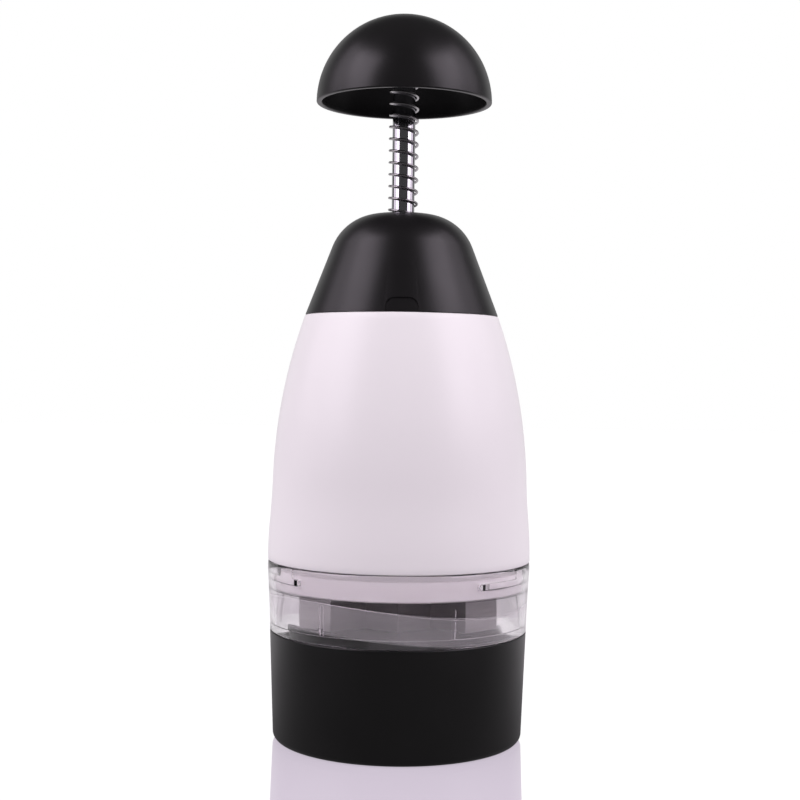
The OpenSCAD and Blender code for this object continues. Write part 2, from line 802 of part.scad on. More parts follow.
module blade_carrier() {
    color("whitesmoke") difference() {
        union() {
            translate([0, 0, z_carrier]) cylinder(r = carrier_r, h = carrier_t - fit_gap);
            translate([0, 0, z_carrier]) cylinder(r = hub_r, h = carrier_t + hub_h);
        }
        translate([0, 0, z_clamp + 1 - fit_gap]) cylinder(r = spindle_corner_r + 0.65, h = hub_h + 1);
        ring_cut(hub_screw_r + fit_gap, z_carrier - 1, z_clamp + 2);
        strips() tab_slots(z_carrier - 1);
        clamp_screw_holes(z_carrier - 1);
        window_pair(z_carrier - 1);
    }
}

// Round windows on either side of the hub, for rinsing
module window_pair(z0) {
    for (x = [-1, 1]) translate([x * (hub_r + window_r + window_web), 0, z0])
        cylinder(r = window_r, h = carrier_t + 2);
}

module strips() {
    for (a = [0, 180]) rotate([0, 0, a]) children();
}

function strip_side(i) = strip_point(i + 1) - strip_point(i);

// Puts children at the start of facet i, with X along the facet
module on_facet(i) {
    side = strip_side(i);
    translate([strip_point(i)[0], -strip_point(i)[1], 0])
        rotate([0, 0, -atan2(side[1], side[0])]) children();
}

module tab_slots(z0) {
    for (i = [0:facets - 1])
        on_facet(i)
            translate([(facet_l - tab_w) / 2 - slot_gap, -blade_t / 2 - slot_gap, z0])
                cube([tab_w + 2 * slot_gap, blade_t + 2 * slot_gap, 10]);
}

// Two screws at either end of the plate, clear of the strips' tabs
function clamp_angle(i) = (i > 1 ? 180 : 0) + (i % 2 == 0 ? 24 : 156);

module clamp_screw_holes(z0) {
    for (i = [0:3])
        rotate([0, 0, clamp_angle(i)]) translate([clamp_circle, 0, z0])
            cylinder(r = clamp_screw_r + fit_gap, h = 20, $fn = 32);
}

module clamp_plate() {
    color("silver") difference() {
        ring_band(clamp_in_r, clamp_r, z_clamp, clamp_t);
        strips() tab_slots(z_clamp - 1);
        clamp_screw_holes(z_clamp - 1);
        window_pair(z_clamp - 1);
    }
}

module clamp_screws() {
    color("silver") for (i = [0:3])
        rotate([0, 0, clamp_angle(i)])
            translate([clamp_circle, 0, z_clamp + clamp_t + fit_gap]) mirror([0, 0, 1])
                pan_screw(clamp_screw_r, clamp_t + carrier_t - 0.4, clamp_head_r, clamp_head_h);
}

module hub_screw() {
    color("silver") translate([0, 0, z_carrier - fit_gap])
        pan_screw(hub_screw_r, hub_screw_l, hub_head_r, hub_head_h);
}

function unit(v) = v / norm(v);
function facet_normal(i) = let (d = unit(strip_side(i))) [d[1], d[0]];

// Direction of the mitre at corner i, in plan, as long as it takes to keep the strip's thickness
function mitre(i) =
    let (a = facet_normal(max(i - 1, 0)), b = facet_normal(min(i, facets - 1))) (a + b) / (1 + a * b);

// One strip: flat facets with a ground lower edge, mitred where they meet, and a tab on each
module blade_strip() {
    half_t = blade_t / 2;
    z_grind = z_tip + grind_h;
    z_top = z_carrier - fit_gap;
    section = [[-edge_t / 2, z_tip], [edge_t / 2, z_tip], [half_t, z_grind], [half_t, z_top],
               [-half_t, z_top], [-half_t, z_grind]];
    n = len(section);
    corners = [for (i = [0:facets]) for (s = section)
                  concat([strip_point(i)[0], -strip_point(i)[1]] + s[0] * mitre(i), [s[1]])];
    sides = [for (i = [0:facets - 1]) for (k = [0:n - 1]) let (m = (k + 1) % n)
                [i * n + k, (i + 1) * n + k, (i + 1) * n + m, i * n + m]];
    ends = [[for (k = [0:n - 1]) k], [for (k = [n - 1:-1:0]) facets * n + k]];
    polyhedron(points = corners, faces = concat(sides, ends), convexity = 8);
    tab_t = blade_t - 0.06;
    for (i = [0:facets - 1])
        on_facet(i)
            translate([(facet_l - tab_w) / 2, -tab_t / 2, z_top - 1])
                cube([tab_w, tab_t, 1 + carrier_t + clamp_t + tab_up]);
}

module blade_strip_front() { color("lightsteelblue") blade_strip(); }
module blade_strip_back() { color("lightsteelblue") rotate([0, 0, 180]) blade_strip(); }

base_cup();
clear_ring();
shell_front();
shell_back();
collar();
hinge_pin_front();
hinge_pin_back();
guide_bush();
spring_washer();
stop_bumper();
guide_column();
column_screws();
pawl_ring();
twist_nut();
nut_retainer();
knob_dome();
knob_insert();
knob_stud();
spring_cap();
plunger_tube();
stop_clip();
tube_plug();
return_spring();
blade_spindle();
spindle_clip();
blade_carrier();
clamp_plate();
clamp_screws();
hub_screw();
blade_strip_front();
blade_strip_back();
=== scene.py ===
"""Plunger food chopper: black palm knob on a sprung chromed plunger, black collar, white tapered shell,
clear locking ring and black cup. Lengths are in millimetres, in the frame's own axes."""
import json
import math

import bmesh
import bpy
from mathutils import Matrix, Vector


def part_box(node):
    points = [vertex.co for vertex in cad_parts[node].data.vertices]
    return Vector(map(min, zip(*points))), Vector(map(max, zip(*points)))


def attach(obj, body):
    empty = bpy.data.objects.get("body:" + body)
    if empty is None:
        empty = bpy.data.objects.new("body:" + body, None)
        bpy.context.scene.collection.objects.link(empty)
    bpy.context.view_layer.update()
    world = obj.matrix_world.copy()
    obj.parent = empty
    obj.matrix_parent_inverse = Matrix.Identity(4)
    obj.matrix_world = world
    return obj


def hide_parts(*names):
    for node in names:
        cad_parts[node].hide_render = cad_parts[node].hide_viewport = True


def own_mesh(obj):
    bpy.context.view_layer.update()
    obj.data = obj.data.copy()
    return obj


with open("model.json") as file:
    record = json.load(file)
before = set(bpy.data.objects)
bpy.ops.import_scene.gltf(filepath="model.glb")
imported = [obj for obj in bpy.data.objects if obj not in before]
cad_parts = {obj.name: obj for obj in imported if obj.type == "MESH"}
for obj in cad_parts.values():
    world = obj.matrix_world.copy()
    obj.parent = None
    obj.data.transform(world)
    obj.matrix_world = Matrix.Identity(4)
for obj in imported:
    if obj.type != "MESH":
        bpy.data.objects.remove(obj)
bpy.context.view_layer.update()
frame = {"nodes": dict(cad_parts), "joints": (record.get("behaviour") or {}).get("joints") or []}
scene = bpy.context.scene
scene.view_settings.view_transform = "Standard"

MM = 0.001
ROUND = 160                     # facets round a large turned piece
FRONT = -math.pi / 2            # the side that faces the camera


# ---------------------------------------------------------------- levels, radii and travel, from the frame

def low(node):
    """Lowest corner of a construction node, in mm."""
    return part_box(node)[0] / MM


def high(node):
    """Highest corner of a construction node, in mm."""
    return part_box(node)[1] / MM


JOINTS = {joint["name"]: joint for joint in frame["joints"]}
UNLOCK_TURN = JOINTS["ring_unlock"]["range_deg"][1]

SEAT_GAP = 0.2                  # seen between cup and ring, and between ring and shell
SLIP_GAP = 0.25                 # hidden, between skirt and ring, and between neck and collar
WALL = 2.2                      # of the shell and the collar

Z_RING = low("clear_ring").z
Z_RING_TOP = high("clear_ring").z
Z_SHOULDER = Z_RING - SEAT_GAP          # of the cup
Z_SHELL = Z_RING_TOP + SEAT_GAP
Z_SKIRT = Z_SHELL - 8.7                 # lower edge of the shell's skirt, inside the ring
Z_LUG = Z_RING_TOP - 5.3                # underside of the skirt's bayonet lugs
Z_COLLAR = low("collar").z
Z_COLLAR_TOP = high("collar").z
Z_SHELL_TOP = Z_COLLAR - 0.1
Z_SEAT = high("spring_washer").z
Z_CAP = low("spring_cap").z
Z_RIM = low("knob_dome").z
DOME_R = high("knob_dome").z - Z_RIM
TUBE_R = high("plunger_tube").x
COLLAR_R = high("collar").x
COLLAR_LEAN = 21.06                     # of its side from upright, in degrees
COLLAR_SLOPE = math.tan(math.radians(COLLAR_LEAN))
RING_TOP_R = high("clear_ring").x
RING_BORE_R = 39.95
RIB_IN_R = 39.35                        # how far in the ring's ribs reach
CUP_TOP_R = high("base_cup").x
RING_INDEX = -5.3                       # turn of the ring's ribs and grooves, in degrees
GROOVE_HALF = 43.3                      # half the angle of a bayonet groove
LUG_ANGLE = 12
LUG_H = 1.8


# ---------------------------------------------------------------- turned, swept and cut meshes

def around(radius, turn, z):
    """A point at a radius, a turn in radians and a level."""
    return radius * math.cos(turn), radius * math.sin(turn), z


def arc(centre, radius, start, end, steps):
    """Points (r, z) along an arc; angles in degrees."""
    turns = [math.radians(start + (end - start) * i / steps) for i in range(steps + 1)]
    return [(centre[0] + radius * math.cos(t), centre[1] + radius * math.sin(t)) for t in turns]


def eased(corners, steps=4):
    """A closed outline from (r, z, rounding) corners, each turned into a small arc."""
    outline = []
    for i, corner in enumerate(corners):
        here = Vector(corner[:2])
        rounding = corner[2] if len(corner) > 2 else 0
        if rounding <= 0:
            outline.append(tuple(here))
            continue
        back = Vector(corners[i - 1][:2]) - here
        ahead = Vector(corners[(i + 1) % len(corners)][:2]) - here
        half = back.angle(ahead) / 2
        cut = min(rounding / math.tan(half), 0.49 * back.length, 0.49 * ahead.length)
        a, b = here + back.normalized() * cut, here + ahead.normalized() * cut
        for k in range(steps + 1):
            t = k / steps
            outline.append(tuple(a.lerp(here, t).lerp(here.lerp(b, t), t)))
    return outline


def finish_surface(piece, sharp=35):
    """Smooth shading with true edges kept crisp."""
    for face in piece.data.polygons:
        face.use_smooth = True
    piece.data.set_sharp_from_angle(angle=math.radians(sharp))


def new_piece(name, bm, sharp=35):
    """Turns finished mesh data into an object."""
    mesh = bpy.data.meshes.new(name)
    bm.to_mesh(mesh)
    bm.free()
    piece = bpy.data.objects.new(name, mesh)
    scene.collection.objects.link(piece)
    finish_surface(piece, sharp)
    return piece


def spin(piece, degrees):
    """Turns a piece's mesh about Z."""
    piece.data.transform(Matrix.Rotation(math.radians(degrees), 4, "Z"))
    return piece


def turned(name, outline, start=0.0, sweep=360.0, steps=ROUND, sharp=35):
    """A closed outline of (r, z) points in mm, turned about Z; a part turn is closed with its cut faces."""
    full = abs(sweep) >= 360
    stations = steps if full else max(2, round(steps * abs(sweep) / 360)) + 1
    bm = bmesh.new()
    rings = []
    for i in range(stations):
        t = math.radians(start + sweep * i / (stations if full else stations - 1))
        ring = []
        for r, z in outline:
            if r < 1e-6 and rings:
                ring.append(rings[0][len(ring)])
            else:
                ring.append(bm.verts.new((r * MM * math.cos(t), r * MM * math.sin(t), z * MM)))
        rings.append(ring)
    count = len(outline)
    for i in range(stations if full else stations - 1):
        a, b = rings[i], rings[(i + 1) % stations]
        for k in range(count):
            n = (k + 1) % count
            corners = list(dict.fromkeys([a[k], b[k], b[n], a[n]]))
            if len(corners) > 2:
                bm.faces.new(corners)
    if not full:
        bm.faces.new(rings[0])
        bm.faces.new(list(reversed(rings[-1])))
    bmesh.ops.recalc_face_normals(bm, faces=bm.faces)
    return new_piece(name, bm, sharp)


def lofted(name, rings, sharp=35, split_ends=False):
    """A skin over rings of points in mm, closed with its two end faces; split_ends is for ends that
    aren't flat."""
    bm = bmesh.new()
    rows = [[bm.verts.new([c * MM for c in point]) for point in ring] for ring in rings]
    for a, b in zip(rows, rows[1:]):
        for k in range(len(a)):
            n = (k + 1) % len(a)
            bm.faces.new((a[k], a[n], b[n], b[k]))
    ends = [bm.faces.new(list(reversed(rows[0]))), bm.faces.new(rows[-1])]
    if split_ends:
        bmesh.ops.triangulate(bm, faces=ends)
    bmesh.ops.recalc_face_normals(bm, faces=bm.faces)
    return new_piece(name, bm, sharp)


def swept(name, path, radius, sides):
    """A round wire along a path of points in mm."""
    rings = []
    for i, point in enumerate(path):
        along = (path[min(i + 1, len(path) - 1)] - path[max(i - 1, 0)]).normalized()
        out = Vector((point.x, point.y, 0)).normalized()
        up = along.cross(out).normalized()
        turns = [2 * math.pi * k / sides for k in range(sides)]
        rings.append([point + (out * math.cos(t) + up * math.sin(t)) * radius for t in turns])
    return lofted(name, rings, sharp=50)


def block(name, size, place, turn=0.0, rounding=0.0):
    """A block in mm, with its middle at place, turned about Z by turn degrees, with eased edges."""
    bm = bmesh.new()
    bmesh.ops.create_cube(bm, size=1)
    bmesh.ops.scale(bm, vec=Vector(size) * MM, verts=bm.verts)
    if rounding:
        bmesh.ops.bevel(bm, geom=bm.edges[:], offset=rounding * MM, segments=2, profile=0.5,
                        affect="EDGES")
    bm.transform(Matrix.Rotation(math.radians(turn), 4, "Z") @ Matrix.Translation(Vector(place) * MM))
    return new_piece(name, bm)


def rod(name, radius, length, place, axis, rounding=0.15, steps=48):
    """A round bar in mm with eased ends, centred at place, along X or Z."""
    half = length / 2
    outline = eased([(0, -half), (radius, -half, rounding), (radius, half, rounding), (0, half)], 3)
    piece = turned(name, outline, steps=steps)
    turn = {"X": Matrix.Rotation(math.pi / 2, 4, "Y"), "Z": Matrix.Identity(4)}[axis]
    piece.data.transform(Matrix.Translation(Vector(place) * MM) @ turn)
    return piece


def join(name, pieces):
    """Several closed forms kept as one piece."""
    bm = bmesh.new()
    for piece in pieces:
        bm.from_mesh(piece.data)
        bpy.data.objects.remove(piece)
    return new_piece(name, bm)


def carve(piece, tools, how="DIFFERENCE", sharp=35):
    """Cuts tools out of a piece, or adds or keeps them, and leaves a plain mesh."""
    for tool in tools:
        modifier = piece.modifiers.new("carve", "BOOLEAN")
        modifier.object = tool
        modifier.operation = how
        modifier.solver = "EXACT"
    bpy.context.view_layer.update()
    ready = piece.evaluated_get(bpy.context.evaluated_depsgraph_get())
    mesh = bpy.data.meshes.new_from_object(ready)
    piece.modifiers.clear()
    piece.data = mesh
    mesh.name = piece.name
    for tool in tools:
        bpy.data.objects.remove(tool)
    finish_surface(piece, sharp)
    return piece


# ---------------------------------------------------------------- materials

NOISE_LOW, NOISE_HIGH = 0.3, 0.7        # nearly all of a noise texture's values lie between these


def linear(code):
    """An sRGB hex colour as linear light."""
    parts = [int(code[i:i + 2], 16) / 255 for i in (1, 3, 5)]
    return (*[c / 12.92 if c <= 0.04045 else ((c + 0.055) / 1.055) ** 2.4 for c in parts], 1.0)


def add(tree, kind, links=None, **settings):
    """Adds a node, sets its sockets and properties by name, and links the sockets named in links, or sets
    them where a number is given."""
    node = tree.nodes.new("ShaderNode" + kind)
    for name, value in settings.items():
        socket = node.inputs.get(name.replace("_", " "))
        if hasattr(node, name) and not socket:
            setattr(node, name, value)
        else:
            socket.default_value = value
    for name, source in (links or {}).items():
        if isinstance(source, float):
            node.inputs[name].default_value = source
        else:
            tree.links.new(source, node.inputs[name])
    return node


def blank_material(name):
    material = bpy.data.materials.new(name)
    material.use_nodes = True
    tree = material.node_tree
    tree.nodes.clear()
    return material, tree, tree.nodes.new("ShaderNodeOutputMaterial")


def moulded_plastic(name, tones, roughness, grain_mm, grain_depth, patchy=0.03):
    """Injection-moulded plastic: even colour with faint flow clouds, a spark-eroded grain from the mould,
    and slightly uneven gloss where hands and the mould's polish differ. The real grain, near 0.05 mm, is
    too fine to show, so it is drawn as coarse as the render needs."""
    cloud_mm, wear_mm = 26, 18
    material, tree, output = blank_material(name)
    place = add(tree, "TexCoord").outputs["Object"]
    clouds = add(tree, "TexNoise", {"Vector": place}, Scale=1 / (cloud_mm * MM), Detail=1, Roughness=0.4)
    tone = add(tree, "MapRange", {"Value": clouds.outputs["Fac"]}, From_Min=NOISE_LOW, From_Max=NOISE_HIGH)
    colour = add(tree, "MixRGB", {"Fac": tone.outputs["Result"]}, Color1=linear(tones[0]),
                 Color2=linear(tones[1]))
    grain = add(tree, "TexNoise", {"Vector": place}, Scale=1 / (grain_mm * MM), Detail=2, Roughness=0.6)
    bump = add(tree, "Bump", {"Height": grain.outputs["Fac"]}, Strength=0.5, Distance=grain_depth * MM)
    wear = add(tree, "TexNoise", {"Vector": place}, Scale=1 / (wear_mm * MM), Detail=2, Roughness=0.5)
    gloss = add(tree, "MapRange", {"Value": wear.outputs["Fac"]}, From_Min=NOISE_LOW, From_Max=NOISE_HIGH,
                To_Min=roughness - patchy, To_Max=roughness + patchy)
    surface = add(tree, "BsdfPrincipled", {"Base Color": colour.outputs["Color"],
                  "Roughness": gloss.outputs["Result"], "Normal": bump.outputs["Normal"]}, IOR=1.53)
    tree.links.new(surface.outputs["BSDF"], output.inputs["Surface"])
    return material


def worked_metal(name, tones, roughness, stretch, line_mm):
    """Drawn, rolled, plated or turned metal: bright, with a fine mottle or, where stretch draws it out,
    fine lines. Real marks are near 0.02 mm, and these are coarser, so that they show."""
    uneven, line_depth = 0.05, 0.004
    material, tree, output = blank_material(name)
    place = add(tree, "TexCoord").outputs["Object"]
    along = add(tree, "Mapping", {"Vector": place}, Scale=stretch)
    lines = add(tree, "TexNoise", {"Vector": along.outputs["Vector"]}, Scale=1 / (line_mm * MM), Detail=3,
                Roughness=0.65)
    tone = add(tree, "MapRange", {"Value": lines.outputs["Fac"]}, From_Min=NOISE_LOW, From_Max=NOISE_HIGH)
    colour = add(tree, "MixRGB", {"Fac": tone.outputs["Result"]}, Color1=linear(tones[0]),
                 Color2=linear(tones[1]))
    gloss = add(tree, "MapRange", {"Value": lines.outputs["Fac"]}, From_Min=NOISE_LOW, From_Max=NOISE_HIGH,
                To_Min=roughness - uneven, To_Max=roughness + uneven)
    bump = add(tree, "Bump", {"Height": lines.outputs["Fac"]}, Strength=0.2, Distance=line_depth * MM)
    surface = add(tree, "BsdfPrincipled", {"Base Color": colour.outputs["Color"],
                  "Roughness": gloss.outputs["Result"], "Normal": bump.outputs["Normal"]}, Metallic=1.0)
    tree.links.new(surface.outputs["BSDF"], output.inputs["Surface"])
    return material


def clear_polystyrene(name):
    """Clear moulded polystyrene: water-clear and glossy, hazy between the sloping ridge and the cup's neck,
    with a painted highlight as a pale line on the ridge and on the flanks of the ribs. The two slopes follow
    x times y, which rises and falls twice round the ring, as the ridges do."""
    ridge_z, ridge_lean = Z_RING + 10.8, 2.7
    sill_z, sill_lean = Z_RING + 1.4, 2.1
    fade, line_middle, line_in, line_out = 0.7, 0.1, 0.05, 0.2
    flank_squared, flank_spread = 1560e-6, 9.5e-6    # radius squared: the bore side of a rib, 39.4 to 39.6 mm
    haze_loss, line_highlight_strength, flank_highlight_strength = 0.13, 2.6, 6.5     # strength of the painted highlights, in times the haze's
    melt_mm = 14
    material, tree, output = blank_material(name)
    place = add(tree, "TexCoord").outputs["Object"]
    axes = add(tree, "SeparateXYZ", {"Vector": place}).outputs
    side = add(tree, "Math", {0: axes["X"], 1: axes["Y"]}, operation="MULTIPLY").outputs[0]
    ridge = add(tree, "Math", {0: side, 1: ridge_lean, 2: ridge_z * MM}, operation="MULTIPLY_ADD")
    sill = add(tree, "Math", {0: side, 1: sill_lean, 2: sill_z * MM}, operation="MULTIPLY_ADD")
    below = add(tree, "Math", {0: ridge.outputs[0], 1: axes["Z"]}, operation="SUBTRACT").outputs[0]
    above = add(tree, "Math", {0: axes["Z"], 1: sill.outputs[0]}, operation="SUBTRACT").outputs[0]
    reach = add(tree, "Math", {0: below, 1: above}, operation="MINIMUM").outputs[0]
    band = add(tree, "MapRange", {"Value": reach}, From_Max=fade * MM).outputs[0]
    melt = add(tree, "TexNoise", {"Vector": place}, Scale=1 / (melt_mm * MM), Detail=2, Roughness=0.4)
    patch = add(tree, "MapRange", {"Value": melt.outputs["Fac"]}, From_Min=NOISE_LOW, From_Max=NOISE_HIGH,
                To_Min=0.8)
    haze = add(tree, "Math", {0: band, 1: patch.outputs[0]}, operation="MULTIPLY").outputs[0]
    # Painted highlight: a pale line along the ridge and on the bore-side flank of each rib, made by clouding
    # the plastic there.
    off_line = add(tree, "Math", {0: below, 1: line_middle * MM}, operation="SUBTRACT").outputs[0]
    distance = add(tree, "Math", {0: off_line}, operation="ABSOLUTE").outputs[0]
    line = add(tree, "MapRange", {"Value": distance}, From_Min=line_in * MM, From_Max=line_out * MM,
               To_Min=line_highlight_strength, To_Max=0.0).outputs[0]
    x_squared = add(tree, "Math", {0: axes["X"], 1: axes["X"]}, operation="MULTIPLY").outputs[0]
    r_squared = add(tree, "Math", {0: axes["Y"], 1: axes["Y"], 2: x_squared}, operation="MULTIPLY_ADD")
    flank = add(tree, "Math", {0: r_squared.outputs[0], 1: flank_squared, 2: flank_spread},
                operation="COMPARE").outputs[0]
    painted_flank_highlight = add(tree, "Math", {0: flank, 1: flank_highlight_strength}, operation="MULTIPLY").outputs[0]
    edges = add(tree, "Math", {0: painted_flank_highlight, 1: line}, operation="MAXIMUM").outputs[0]
    haze_and_painted_highlights = add(tree, "Math", {0: haze, 1: edges}, operation="MAXIMUM").outputs[0]
    through = add(tree, "MapRange", {"Value": haze_and_painted_highlights}, clamp=False, To_Min=1.0, To_Max=1 - haze_loss)
    rough = add(tree, "MapRange", {"Value": haze_and_painted_highlights}, To_Min=0.02, To_Max=0.06)
    surface = add(tree, "BsdfPrincipled", {"Roughness": rough.outputs["Result"],
                  "Transmission Weight": through.outputs["Result"]},
                  Base_Color=linear("#FBF8FB"), IOR=1.57)
    tree.links.new(surface.outputs["BSDF"], output.inputs["Surface"])
    return material


# Knob and collar: near-black with soft, wide highlights from a fine satin grain.
BLACK_ABS = moulded_plastic("black_ABS_satin_moulded", ("#0F0E0F", "#131213"), 0.34, 0.5, 0.006)
# Cup: a darker, slightly duller black, with only a grey sheen along its sides.
BLACK_CUP = moulded_plastic("black_ABS_low_gloss_moulded", ("#0A0A0A", "#0D0D0D"), 0.36, 0.5, 0.006)
# Shell: a clean white that shades softly, with a broad gloss and hardly any grain.
WHITE_ABS = moulded_plastic("white_ABS_gloss_moulded", ("#F1F2F0", "#F3F4F2"), 0.32, 1.2, 0.001, 0.01)
# Guide column and blade carrier: a plain, waxy white.
PLAIN_WHITE = moulded_plastic("white_polypropylene_moulded", ("#E4E1E0", "#ECE9E8"), 0.45, 0.7, 0.03)
# Bush, nut and plug: cream with a dull, faintly scored surface.
NYLON = moulded_plastic("natural_nylon_machined", ("#D8D0BC", "#E0D9C7"), 0.5, 0.5, 0.03)
# Bumper: a matt dark grey that hardly shines.
RUBBER = moulded_plastic("black_nitrile_rubber_moulded", ("#1C1C1C", "#242424"), 0.7, 0.4, 0.04)
# Plunger tube: mirror bright, with upright streaks from drawing.
CHROME = worked_metal("chromium_plated_drawn_tube", ("#C9C9CD", "#D6D6DA"), 0.07, (1, 1, 0.02), 0.25)
# Spring and clips: bright grey wire with a soft line of light.
WIRE = worked_metal("music_wire_drawn", ("#A7A5A6", "#C3C1C2"), 0.22, (1, 1, 1), 0.3)
# Blades and clamp plate: satin grey, with fine level lines from rolling.
BLADE = worked_metal("stainless_strip_rolled", ("#C2BDBF", "#CECACC"), 0.36, (0.05, 0.05, 1), 0.6)
# Pins, screws and spindle: a cool grey, a little mottled.
ZINC = worked_metal("zinc_plated_steel", ("#A9ABAE", "#C4C6C9"), 0.3, (1, 1, 1), 0.4)
# Threaded insert: warm yellow, finely streaked along its length.
BRASS = worked_metal("brass_turned", ("#B08A3E", "#CBA85A"), 0.25, (1, 1, 0.05), 0.3)
# Locking ring: what lies behind shows through, under painted highlights, crisp pale lines on the ridge and
# rib flanks, and a grey haze.
CLEAR = clear_polystyrene("clear_polystyrene_moulded")


def dress(piece, body, slot, material, *nodes):
    """Gives a piece its material and body, and hides the construction nodes that it stands for."""
    piece.data.materials.clear()
    piece.data.materials.append(material)
    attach(piece, body)
    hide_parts(*nodes)
    return piece


# ---------------------------------------------------------------- black palm knob

def palm_knob():
    """A hollow dome with a boss for the stud in its middle and six webs under its roof."""
    wall, lip = 1.8, 0.45
    inner = DOME_R - wall
    boss_r, boss_low, boss_ease = 7.0, Z_CAP + 1.2, 0.4
    socket_r, socket_top = TUBE_R + 0.1, Z_CAP + 4.3
    boss_top = math.degrees(math.acos(boss_r / inner))
    outline = arc((0, Z_RIM), DOME_R, 90, 0.9, 40)
    outline += arc((DOME_R - lip, Z_RIM + lip), lip, 0, -90, 5)
    outline += arc((inner + lip, Z_RIM + lip), lip, -90, -180, 5)
    outline += arc((0, Z_RIM), inner, 1.0, boss_top, 34)
    outline += [(boss_r, boss_low + boss_ease), (boss_r - boss_ease, boss_low), (socket_r, boss_low),
                (socket_r, socket_top), (0, socket_top)]
    dome = turned("knob_skin", outline)
    web_in, web_out, web_t, web_h, web_low = 5.3, 24.3, 1.4, 6, Z_CAP + 3.5
    webs = [block("web", (web_out - web_in, web_t, web_h), ((web_in + web_out) / 2, 0, web_low + web_h / 2),
                  turn=i * 60, rounding=0.3) for i in range(6)]
    mid_wall = turned("mid_wall", arc((0, Z_RIM), DOME_R - wall / 2, 90, 0, 30) + [(0, Z_RIM)], steps=72)
    webs = carve(mid_wall, [join("webs", webs)], "INTERSECT")
    return dress(join("palm_knob", [dome, webs]), "plunger", "satin_black", BLACK_ABS, "knob_dome")


# ---------------------------------------------------------------- black collar

def collar_side(inset):
    """The collar's lower edge, and its arc over the shoulder, moved inwards by inset."""
    shoulder, lean = 17.0, math.radians(COLLAR_LEAN)
    zc = Z_COLLAR_TOP - shoulder
    rc = COLLAR_R - (shoulder + (zc - Z_COLLAR) * math.sin(lean)) / math.cos(lean)
    edge = COLLAR_R - inset / math.cos(lean)
    return edge, arc((rc, zc), shoulder - inset, COLLAR_LEAN, 89, 28)


def black_collar():
    """A leaning skin with a round shoulder and a well for the bush, three posts and four hinge ears."""
    well_r, boss_r, boss_low = 6.2, 8.4, Z_COLLAR + 6.7
    post_r, post_h, post_circle = 3.2, 15.5, 18
    ear_size, ear_x, ear_y, ear_z = (2.4, 5.0, 8.0), 7.5, 23.6, Z_COLLAR + 5.6
    ease = 0.3
    edge, shoulder = collar_side(0)
    inner_edge, inner_shoulder = collar_side(WALL)
    roof = [point for point in reversed(inner_shoulder) if point[0] > boss_r + 0.2]
    outline = [(edge - 1.3 * ease, Z_COLLAR), (edge - 0.4 * ease, Z_COLLAR + 0.25 * ease),
               (edge - COLLAR_SLOPE * ease - 0.02, Z_COLLAR + ease)]
    outline += shoulder[:-1]
    outline += [(well_r + 0.5, Z_COLLAR_TOP - 0.02), (well_r + 0.12, Z_COLLAR_TOP - 0.18),
                (well_r, Z_COLLAR_TOP - 0.6), (well_r, boss_low), (boss_r, boss_low)]
    outline += [(boss_r, roof[0][1])] + roof + [(inner_edge, Z_COLLAR)]
    parts = [carve(turned("collar_skin", outline), [arch_panel(), spin(arch_panel(), 180)])]
    for a in (30, 150, 270):
        post = rod("post", post_r, post_h, (post_circle, 0, boss_low + post_h / 2), "Z", 0.2, 32)
        parts.append(spin(post, a))
    for side in (-1, 1):
        for a in (0, 180):
            parts.append(block("ear", ear_size, (side * ear_x, -ear_y, ear_z), turn=a, rounding=0.2))
    return dress(join("black_collar", parts), "housing", "satin_black", BLACK_ABS, "collar")


def arch_panel():
    """The cutter for the shallow round-cornered panel at the collar's lower edge, between two cones."""
    width, height, corner, depth = 10.4, 4.6, 3.0, 0.4
    under, clear_of_skin = 1.0, 2
    shape = [(-width / 2, -under), (width / 2, -under)]
    shape += arc((width / 2 - corner, height - corner), corner, 0, 90, 8)
    shape += arc((-width / 2 + corner, height - corner), corner, 90, 180, 8)
    rings = []
    for out in (-depth, clear_of_skin):
        ring = []
        for x, h in shape:
            r = COLLAR_R - h * COLLAR_SLOPE + out
            ring.append((x, -math.sqrt(r * r - x * x), Z_COLLAR + h))
        rings.append(ring)
    return lofted("panel", rings, split_ends=True)


# ---------------------------------------------------------------- white shell halves

def shell_r(z, inset=0.0):
    """The shell's side: a flare above the ring, then one arc from the waist up to the collar."""
    waist_in, z_waist, z_flare, flare_h = 1.25, Z_SHELL + 21.3, Z_SHELL + 2, 24.6
    waist_r = RING_TOP_R - waist_in
    fall, rise = waist_r - COLLAR_R, Z_SHELL_TOP - z_waist
    bulge = (rise ** 2 + fall ** 2) / (2 * fall)
    share = min(1.0, max(0.0, (z - z_flare) / flare_h))
    flare = waist_in * (1 + math.cos(math.pi * share)) / 2
    return waist_r - inset - bulge + math.sqrt(bulge ** 2 - max(0.0, z - z_waist) ** 2) + flare


